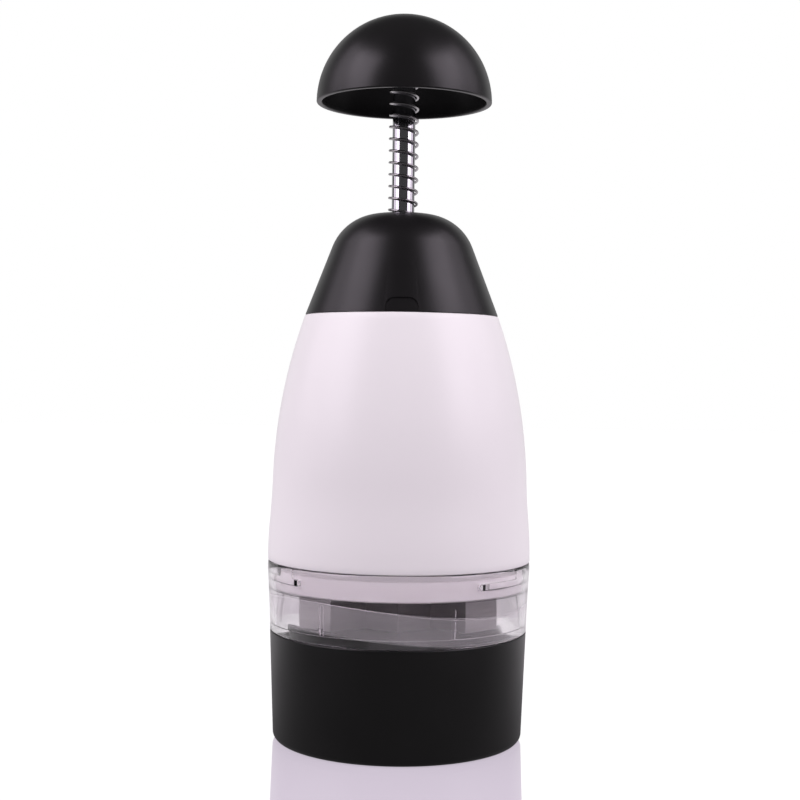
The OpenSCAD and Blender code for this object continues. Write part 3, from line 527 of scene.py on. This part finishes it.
def white_half(name, node, turn):
    """Half of the shell, with its skirt inside the ring, its neck inside the collar, a hinge tab and two
    bayonet lugs."""
    skirt_r, skirt_t, skirt_ease = 40.55, 2.0, 0.4
    relief_d, relief_h = 0.9, 2.5                    # of the groove at the skirt's root
    neck_r = COLLAR_R - WALL / math.cos(math.radians(COLLAR_LEAN)) - SLIP_GAP
    neck_h, neck_t = 5.8, 2
    neck_top_r = neck_r - COLLAR_SLOPE * neck_h
    ease, steps = 0.35, 44
    outline = [(skirt_r - skirt_t, Z_SKIRT + 0.3), (skirt_r - skirt_t + skirt_ease, Z_SKIRT),
               (skirt_r - skirt_ease, Z_SKIRT), (skirt_r, Z_SKIRT + skirt_ease),
               (skirt_r, Z_SHELL - relief_h), (skirt_r - relief_d, Z_SHELL - relief_h + skirt_ease),
               (skirt_r - relief_d, Z_SHELL), (shell_r(Z_SHELL) - ease, Z_SHELL),
               (shell_r(Z_SHELL) - 0.1, Z_SHELL + 0.1)]
    for i in range(steps + 1):
        z = Z_SHELL + ease + (Z_SHELL_TOP - 2 * ease - Z_SHELL) * i / steps
        outline.append((shell_r(z), z))
    outline += [(shell_r(Z_SHELL_TOP) - 0.1, Z_SHELL_TOP - 0.1), (shell_r(Z_SHELL_TOP) - ease, Z_SHELL_TOP),
                (neck_r, Z_SHELL_TOP), (neck_top_r, Z_COLLAR + neck_h),
                (neck_top_r - neck_t, Z_COLLAR + neck_h), (neck_r - neck_t, Z_SHELL_TOP - 1)]
    for i in range(steps, -1, -1):
        z = Z_SHELL + 4 + (Z_SHELL_TOP - 4.5 - Z_SHELL) * i / steps
        outline.append((shell_r(z, WALL), z))
    outline.append((skirt_r - skirt_t, Z_SHELL + 1))
    gap = 0.14                                       # half the seam, in degrees
    half = turned(name, outline, start=180 - turn + gap, sweep=180 - 2 * gap)
    ease_seam(half, 0.18)
    hinge_w, knuckle_r, pin_y, pin_z = 12, 2.3, 24.3, Z_COLLAR + 3
    extra = [block("tab", (hinge_w, 4, 5.2), (0, -24.4, Z_COLLAR + 0.4), rounding=0.3),
             rod("knuckle", knuckle_r, hinge_w, (0, -pin_y, pin_z), "X")]
    lug_in, lug_out, lug_play = 40.2, 41.45, 0.7
    lug = eased([(lug_in, Z_LUG), (lug_out, Z_LUG, 0.2), (lug_out, Z_LUG + LUG_H, 0.2),
                 (lug_in, Z_LUG + LUG_H)])
    far = GROOVE_HALF - lug_play
    for start in (RING_INDEX - far, RING_INDEX + far - UNLOCK_TURN - LUG_ANGLE + 180):
        extra.append(turned("lug", lug, start=start, sweep=LUG_ANGLE))
    parts = [half] + [spin(piece, turn) for piece in extra]
    return dress(join(name, parts), "housing", "shell_white", WHITE_ABS, node)


def ease_seam(piece, width):
    """Eases the edges round the two cut faces of a half shell."""
    bm = bmesh.new()
    bm.from_mesh(piece.data)
    caps = [face for face in bm.faces if len(face.verts) > 8]
    edges = list({edge for face in caps for edge in face.edges})
    bmesh.ops.bevel(bm, geom=edges, offset=width * MM, segments=2, profile=0.5, affect="EDGES",
                    clamp_overlap=True)
    bm.to_mesh(piece.data)
    bm.free()
    finish_surface(piece)


# ---------------------------------------------------------------- clear ring

def clear_ring():
    """The locking ring: a wall that flares upwards, ribs and sloping ridges in its bore, and the bayonet
    grooves that the shell's lugs turn in."""
    step_bore, foot_h, flare = 40.8, 2.6, 0.9
    foot_r = RING_TOP_R - flare
    z_seat = Z_SKIRT - SLIP_GAP
    outline = eased([
        (step_bore, Z_RING, 0.15), (foot_r, Z_RING, 0.3), (foot_r + 0.2 * flare, Z_RING + 6, 3.0),
        (RING_TOP_R - 0.35 * flare, Z_RING_TOP - 8, 2.0), (RING_TOP_R, Z_RING_TOP - 3, 2.0),
        (RING_TOP_R, Z_RING_TOP, 0.9), (step_bore, Z_RING_TOP, 0.2), (step_bore, z_seat, 0.1),
        (RING_BORE_R, z_seat, 0.15), (RING_BORE_R, Z_RING + foot_h, 0.15), (step_bore, Z_RING + foot_h, 0.1)])
    ring = turned("locking_ring", outline)
    raised = [ring_rib(i * 60 - 120 + RING_INDEX) for i in range(6)] + [ring_ridge(a) for a in (0, 180)]
    ring = carve(ring, raised, "UNION", sharp=28)
    cutters = []
    for a in (RING_INDEX, RING_INDEX + 180):
        cutters += groove_cutters(a, step_bore)
    ring = carve(ring, cutters, sharp=28)
    return dress(ring, "ring", "clear_plastic", CLEAR, "clear_ring")


def ring_rib(turn):
    """An upright rib with a round top and tapered flanks on the ring's bore."""
    width, foot, height, root_r = 1.4, Z_RING + 2.8, 8.6, 40.4
    shape = [(-width / 2, foot), (width / 2, foot)] + arc((0, foot + height), width / 2, 0, 180, 10)
    rings = [[(r, taper * x, z) for x, z in shape] for r, taper in ((RIB_IN_R, 0.7), (root_r, 1.3))]
    return spin(lofted("rib", rings), turn)


def ring_ridge(turn):
    """A thin ridge that slopes round the bore, from upper left to lower right as seen from outside."""
    reach, middle, rise, height, depth, taper = 55, Z_RING + 11, 3.7, 0.7, 0.3, 0.12
    stations = 40
    highest = Z_SKIRT - SLIP_GAP - height / 2 - 0.05
    section = [(RING_BORE_R + depth, -height / 2), (RING_BORE_R + depth, height / 2),
               (RING_BORE_R - depth, height / 2 - taper), (RING_BORE_R - depth, -height / 2 + taper)]
    rings = []
    for i in range(stations + 1):
        seen = -reach + 2 * reach * i / stations
        t = math.radians(seen + turn) + FRONT
        z = min(middle - rise * math.sin(math.radians(seen)), highest)
        rings.append([around(r, t, z + h) for r, h in section])
    return lofted("ridge", rings)


def groove_cutters(turn, bore):
    """Bayonet groove, its two open slots and the small windows at its ends, which reach further round than
    the lugs need."""
    half, deep, lug_gap, slot = GROOVE_HALF + 4, 41.7, 0.2, 13
    z_low, tall = Z_LUG - lug_gap, LUG_H + 2 * lug_gap
    groove = eased([(bore - 1, z_low), (deep, z_low, 0.15), (deep, z_low + tall, 0.15),
                    (bore - 1, z_low + tall)])
    open_slot = [(bore - 1, z_low + 0.3), (deep - 0.01, z_low + 0.3), (deep - 0.01, Z_RING_TOP + 1),
                 (bore - 1, Z_RING_TOP + 1)]
    cutters = [turned("groove", groove, start=turn - half, sweep=2 * half)]
    for a in (GROOVE_HALF - slot, UNLOCK_TURN - GROOVE_HALF):
        cutters.append(turned("slot", open_slot, start=turn + a, sweep=slot))
    for a in (-half, half):
        cutters.append(block("window", (8, 1.9, 1.8), (44, 0, z_low + tall / 2), turn=turn + a))
    return cutters


# ---------------------------------------------------------------- black cup

def black_cup():
    """The cup that the food is chopped in, with a recessed foot and a neck with two cams."""
    chamber, neck, neck_h = 37.0, 39.1, 4.4
    foot_r, foot_round = CUP_TOP_R - 1.25, 2.5
    floor, recess, foot_rim = 3.2, 1.0, chamber - 0.4
    top = Z_SHOULDER + neck_h
    outline = eased([(foot_r - foot_round, 0.0)]
                    + arc((foot_r - foot_round, foot_round), foot_round, -80, 0, 10)
                    + [(CUP_TOP_R, Z_SHOULDER, 0.45), (neck, Z_SHOULDER, 0.2), (neck, top, 0.35),
                       (chamber, top, 0.35), (chamber, floor + 2, 2.0), (chamber - 2, floor, 1.5), (0, floor),
                       (0, recess), (foot_rim, recess, 0.3), (foot_rim, 0, 0.2)])
    cams = [cam_cut(i * 180, chamber - 1, neck + 0.6, top) for i in range(2)]
    cup = carve(turned("lift_off_cup", outline), cams)
    return dress(cup, "base", "cup_black", BLACK_CUP, "base_cup")


def cam_cut(turn, inner, outer, top):
    """What is cut from the neck from the high end of one cam to the next: a slope first, then level."""
    start, slope_end, end = -60, 26, 120
    bottom = Z_SHOULDER + 0.6
    middle, half = (start + slope_end) / 2, math.radians((slope_end - start) / 2)
    stations = 48
    rings = []
    for i in range(stations + 1):
        seen = start + (end - start) * i / stations
        t = math.radians(seen + turn) + FRONT
        fall = math.sin(math.radians(min(seen, slope_end) - middle)) / math.sin(half)
        z = (top + bottom) / 2 - (top - bottom) / 2 * fall
        section = [(inner, z), (outer, z), (outer, top + 2), (inner, top + 2)]
        rings.append([around(r, t, level) for r, level in section])
    return lofted("cam", rings)


# ---------------------------------------------------------------- plunger tube and spring

def chrome_tube():
    """The plunger tube, with a groove for its stop clip."""
    wall, clip_gap, groove = 0.8, 0.02, 0.35
    bottom, top = low("plunger_tube").z, high("plunger_tube").z
    clip_low, clip_high = low("stop_clip").z - clip_gap, high("stop_clip").z + clip_gap
    outline = eased([
        (TUBE_R - wall, bottom, 0.1), (TUBE_R, bottom, 0.2), (TUBE_R, clip_low), (TUBE_R - groove, clip_low),
        (TUBE_R - groove, clip_high), (TUBE_R, clip_high), (TUBE_R, top, 0.2), (TUBE_R - wall, top, 0.1)], 3)
    tube = turned("chrome_tube", outline, steps=96)
    return dress(tube, "plunger", "tube_chrome", CHROME, "plunger_tube")


def coil_spring():
    """The return spring, wound left-handed, with closed ends ground flat."""
    wire, ground, start = 0.42, 0.05, math.radians(40)
    coil_r = high("return_spring").x - wire
    height = Z_CAP - Z_SEAT - 2 * (wire + ground)
    closed, pitch = 2 * wire + 0.06, 3.9
    turns = (height - 2 * closed) / pitch + 2
    per_turn = 36
    path = []
    for i in range(round(turns * per_turn) + 1):
        t = min(i / per_turn, turns)
        if t < 1:
            z = closed * t
        elif t > turns - 1:
            z = height - closed * (turns - t)
        else:
            z = closed + pitch * (t - 1)
        path.append(Vector(around(coil_r, start - 2 * math.pi * t, Z_SEAT + ground + wire + z)))
    spring = swept("coil_spring", path, wire, sides=12)
    dress(spring, "housing", "spring_steel", WIRE, "return_spring")
    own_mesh(spring)
    return spring


# ---------------------------------------------------------------- the construction nodes that stay

KEPT = {
    "hinge_pin_front": ZINC, "hinge_pin_back": ZINC, "guide_bush": NYLON, "spring_washer": ZINC,
    "stop_bumper": RUBBER, "guide_column": PLAIN_WHITE, "column_screws": ZINC, "pawl_ring": WIRE,
    "twist_nut": NYLON, "nut_retainer": BLACK_ABS, "knob_insert": BRASS, "knob_stud": ZINC,
    "spring_cap": BLACK_ABS, "stop_clip": WIRE, "tube_plug": NYLON, "blade_spindle": ZINC,
    "spindle_clip": WIRE, "blade_carrier": PLAIN_WHITE, "clamp_plate": BLADE, "clamp_screws": ZINC,
    "hub_screw": ZINC, "blade_strip_front": BLADE, "blade_strip_back": BLADE,
}


def finish_kept_nodes():
    for name, material in KEPT.items():
        mesh = frame["nodes"][name].data
        mesh.materials.clear()
        mesh.materials.append(material)


# ---------------------------------------------------------------- camera, light and floor

def photo_camera():
    """Nearly level camera 48 cm from the object's axis, with the photograph's slight tilt to one side."""
    lens, pitch_down, roll = 65.7, 0.82, 0.7         # millimetres, then degrees
    aside, distance, height = -0.0003, 0.483, 0.1184
    camera = bpy.data.objects.new("camera", bpy.data.cameras.new("camera"))
    scene.collection.objects.link(camera)
    camera.data.sensor_width = 36
    camera.data.lens = lens
    camera.data.clip_start = 0.01
    camera.location = (aside, -distance, height)
    camera.rotation_euler = (math.radians(90 - pitch_down), math.radians(-roll), 0)
    scene.camera = camera


LAMP_COLOUR = "#FEF2FF"
HORIZON = 0.06          # how bright the room's walls look in a reflection
CEILING = 0.04          # how bright its ceiling looks there
BACKDROP = 0.5          # how bright the sheet behind the object looks there
GLASS_ROOM = 0.3        # how bright the room's front looks in a reflection inside or behind glass
GLASS_FILL = 2.1        # how strongly the room lights what lies behind glass


def softbox(name, azimuth, elevation, distance, width, height, radiance, glossy=True):
    """A soft rectangular lamp that faces the middle of the object; azimuth 0 is in front, positive to the
    right. Its radiance is what a mirror would show, with 1 as white."""
    lamp = bpy.data.lights.new(name, "AREA")
    lamp.shape = "RECTANGLE"
    lamp.size, lamp.size_y = width, height
    lamp.energy = radiance * 4 * width * height      # the renderer divides the watts by four times the area
    lamp.color = linear(LAMP_COLOUR)[:3]
    lamp_object = bpy.data.objects.new(name, lamp)
    scene.collection.objects.link(lamp_object)
    a, e = math.radians(azimuth), math.radians(elevation)
    away = Vector((math.sin(a) * math.cos(e), -math.cos(a) * math.cos(e), math.sin(e)))
    lamp_object.location = Vector((0, 0, 0.12)) + away * distance
    lamp_object.rotation_euler = away.to_track_quat("Z", "Y").to_euler()
    lamp_object.visible_glossy = glossy


def studio():
    """A white backdrop, a dim room round it for reflections, a lilac-white fill, and a pair of softboxes on
    each side, the nearer one brighter. The lamps cast nothing through glass, so the fill is stronger
    there."""
    world = bpy.data.worlds.new("studio")
    scene.world = world
    world.use_nodes = True
    tree = world.node_tree
    tree.nodes.clear()
    path = add(tree, "LightPath").outputs
    in_glass = path["Is Transmission Ray"]
    way = add(tree, "SeparateXYZ", {"Vector": add(tree, "TexCoord").outputs["Generated"]}).outputs

    open_fill = add(tree, "MapRange", {"Value": way["Y"]}, From_Min=-0.4, From_Max=0.5, To_Min=0.54,
                    To_Max=1.05).outputs[0]
    glass_fill = add(tree, "MapRange", {"Value": in_glass}, To_Max=GLASS_FILL).outputs[0]
    fill_level = add(tree, "Math", {0: open_fill, 1: glass_fill}, operation="MAXIMUM").outputs[0]
    fill = add(tree, "Background", {"Strength": fill_level}, Color=linear("#FFF4FC"))

    walls = add(tree, "MapRange", {"Value": way["Z"]}, From_Min=0.33, From_Max=0.6, To_Min=HORIZON,
                To_Max=CEILING).outputs[0]
    behind = add(tree, "MapRange", {"Value": way["Y"]}, From_Min=0.5, From_Max=0.8,
                 To_Max=BACKDROP).outputs[0]
    lower = add(tree, "MapRange", {"Value": way["Z"]}, From_Min=0.5, From_Max=0.7, To_Min=1.0,
                To_Max=0.0).outputs[0]
    sheet = add(tree, "Math", {0: behind, 1: lower}, operation="MULTIPLY").outputs[0]
    open_room = add(tree, "Math", {0: walls, 1: sheet}, operation="MAXIMUM").outputs[0]
    glass_walls = add(tree, "MapRange", {"Value": way["Y"]}, From_Min=-0.3, From_Max=0.5,
                      To_Min=GLASS_ROOM).outputs[0]
    glass_room = add(tree, "Math", {0: in_glass, 1: glass_walls}, operation="MULTIPLY").outputs[0]
    room_level = add(tree, "Math", {0: open_room, 1: glass_room}, operation="MAXIMUM").outputs[0]
    room = add(tree, "Background", {"Strength": room_level}, Color=linear("#FFFFFF"))

    # A mirror image, as in the table, shows the white backdrop, and a blurred reflection shows the room.
    white = add(tree, "Background", Color=linear("#FFFFFF"), Strength=1.0)
    blurred = add(tree, "Math", {0: path["Glossy Depth"], 1: path["Is Singular Ray"]}, operation="SUBTRACT")
    seen = add(tree, "MixShader", {0: blurred.outputs[0], 1: white.outputs[0], 2: room.outputs[0]})
    shown = add(tree, "MixShader", {0: path["Diffuse Depth"], 1: seen.outputs[0], 2: fill.outputs[0]})
    output = tree.nodes.new("ShaderNodeOutputWorld")
    tree.links.new(shown.outputs[0], output.inputs["Surface"])

    softbox("softbox_left", -62, 32, 1.0, 0.56, 0.85, 1.86)
    softbox("softbox_left_far", -95, 32, 1.0, 0.5, 0.85, 0.9)
    softbox("softbox_right", 62, 32, 1.0, 0.56, 0.85, 1.96)
    softbox("softbox_right_far", 95, 32, 1.0, 0.5, 0.85, 0.8)
    softbox("front_fill", 0, 20, 1.2, 1.2, 0.8, 0.29, glossy=False)


def white_table():
    """Polished white acrylic that the object stands on. To the camera it is white, with the object's shade
    and a sharp, faint mirror image. A reflection in the object shows it as a plain glow, with painted shade
    that makes it darker in front, and diffuse light meets a pale, matt sheet, greyer than the table, as
    painted shade."""
    bm = bmesh.new()
    bmesh.ops.create_grid(bm, x_segments=8, y_segments=8, size=3.0)
    table = new_piece("table", bm)
    material, tree, output = blank_material("white_acrylic_sheet_polished")
    body = linear("#CAC1CE")
    shade, lamp_share = 0.16, 1.3                    # how much of the body the lamps light, and how strongly
    full = 1.02                                      # the body and the mirrored backdrop together
    glow = add(tree, "Emission", Color=body, Strength=1 - shade)
    cast = add(tree, "BsdfDiffuse", Color=(*[c * shade * lamp_share for c in body[:3]], 1))
    mirror = add(tree, "BsdfGlossy", Color=(*[full - c for c in body[:3]], 1), Roughness=0.0)
    lit = add(tree, "AddShader", {0: glow.outputs[0], 1: cast.outputs[0]})
    seen = add(tree, "AddShader", {0: lit.outputs[0], 1: mirror.outputs[0]})
    # Painted shade: bounced light meets a grey sheet in place of the white table.
    pale = add(tree, "BsdfDiffuse", Color=linear("#98949A"))
    place = add(tree, "SeparateXYZ", {"Vector": add(tree, "TexCoord").outputs["Object"]}).outputs
    # Painted shade: seen in a reflection, the table glows, dimmer in front than behind.
    painted_front_shade = add(tree, "MapRange", {"Value": place["Y"]}, From_Min=-0.05, From_Max=0.2, To_Min=0.12,
                    To_Max=0.8)
    glow_with_painted_shade = add(tree, "Emission", {"Strength": painted_front_shade.outputs[0]}, Color=linear("#F4EFF4"))
    path = add(tree, "LightPath").outputs
    bounced = add(tree, "MixShader", {0: path["Diffuse Depth"], 1: glow_with_painted_shade.outputs[0],
                  2: pale.outputs[0]})
    shown = add(tree, "MixShader", {0: path["Is Camera Ray"], 1: bounced.outputs[0], 2: seen.outputs[0]})
    tree.links.new(shown.outputs[0], output.inputs["Surface"])
    table.data.materials.append(material)


photo_camera()
studio()
white_table()
palm_knob()
black_collar()
white_half("white_half_front", "shell_front", 0)
white_half("white_half_back", "shell_back", 180)
clear_ring()
black_cup()
chrome_tube()
coil_spring()
finish_kept_nodes()
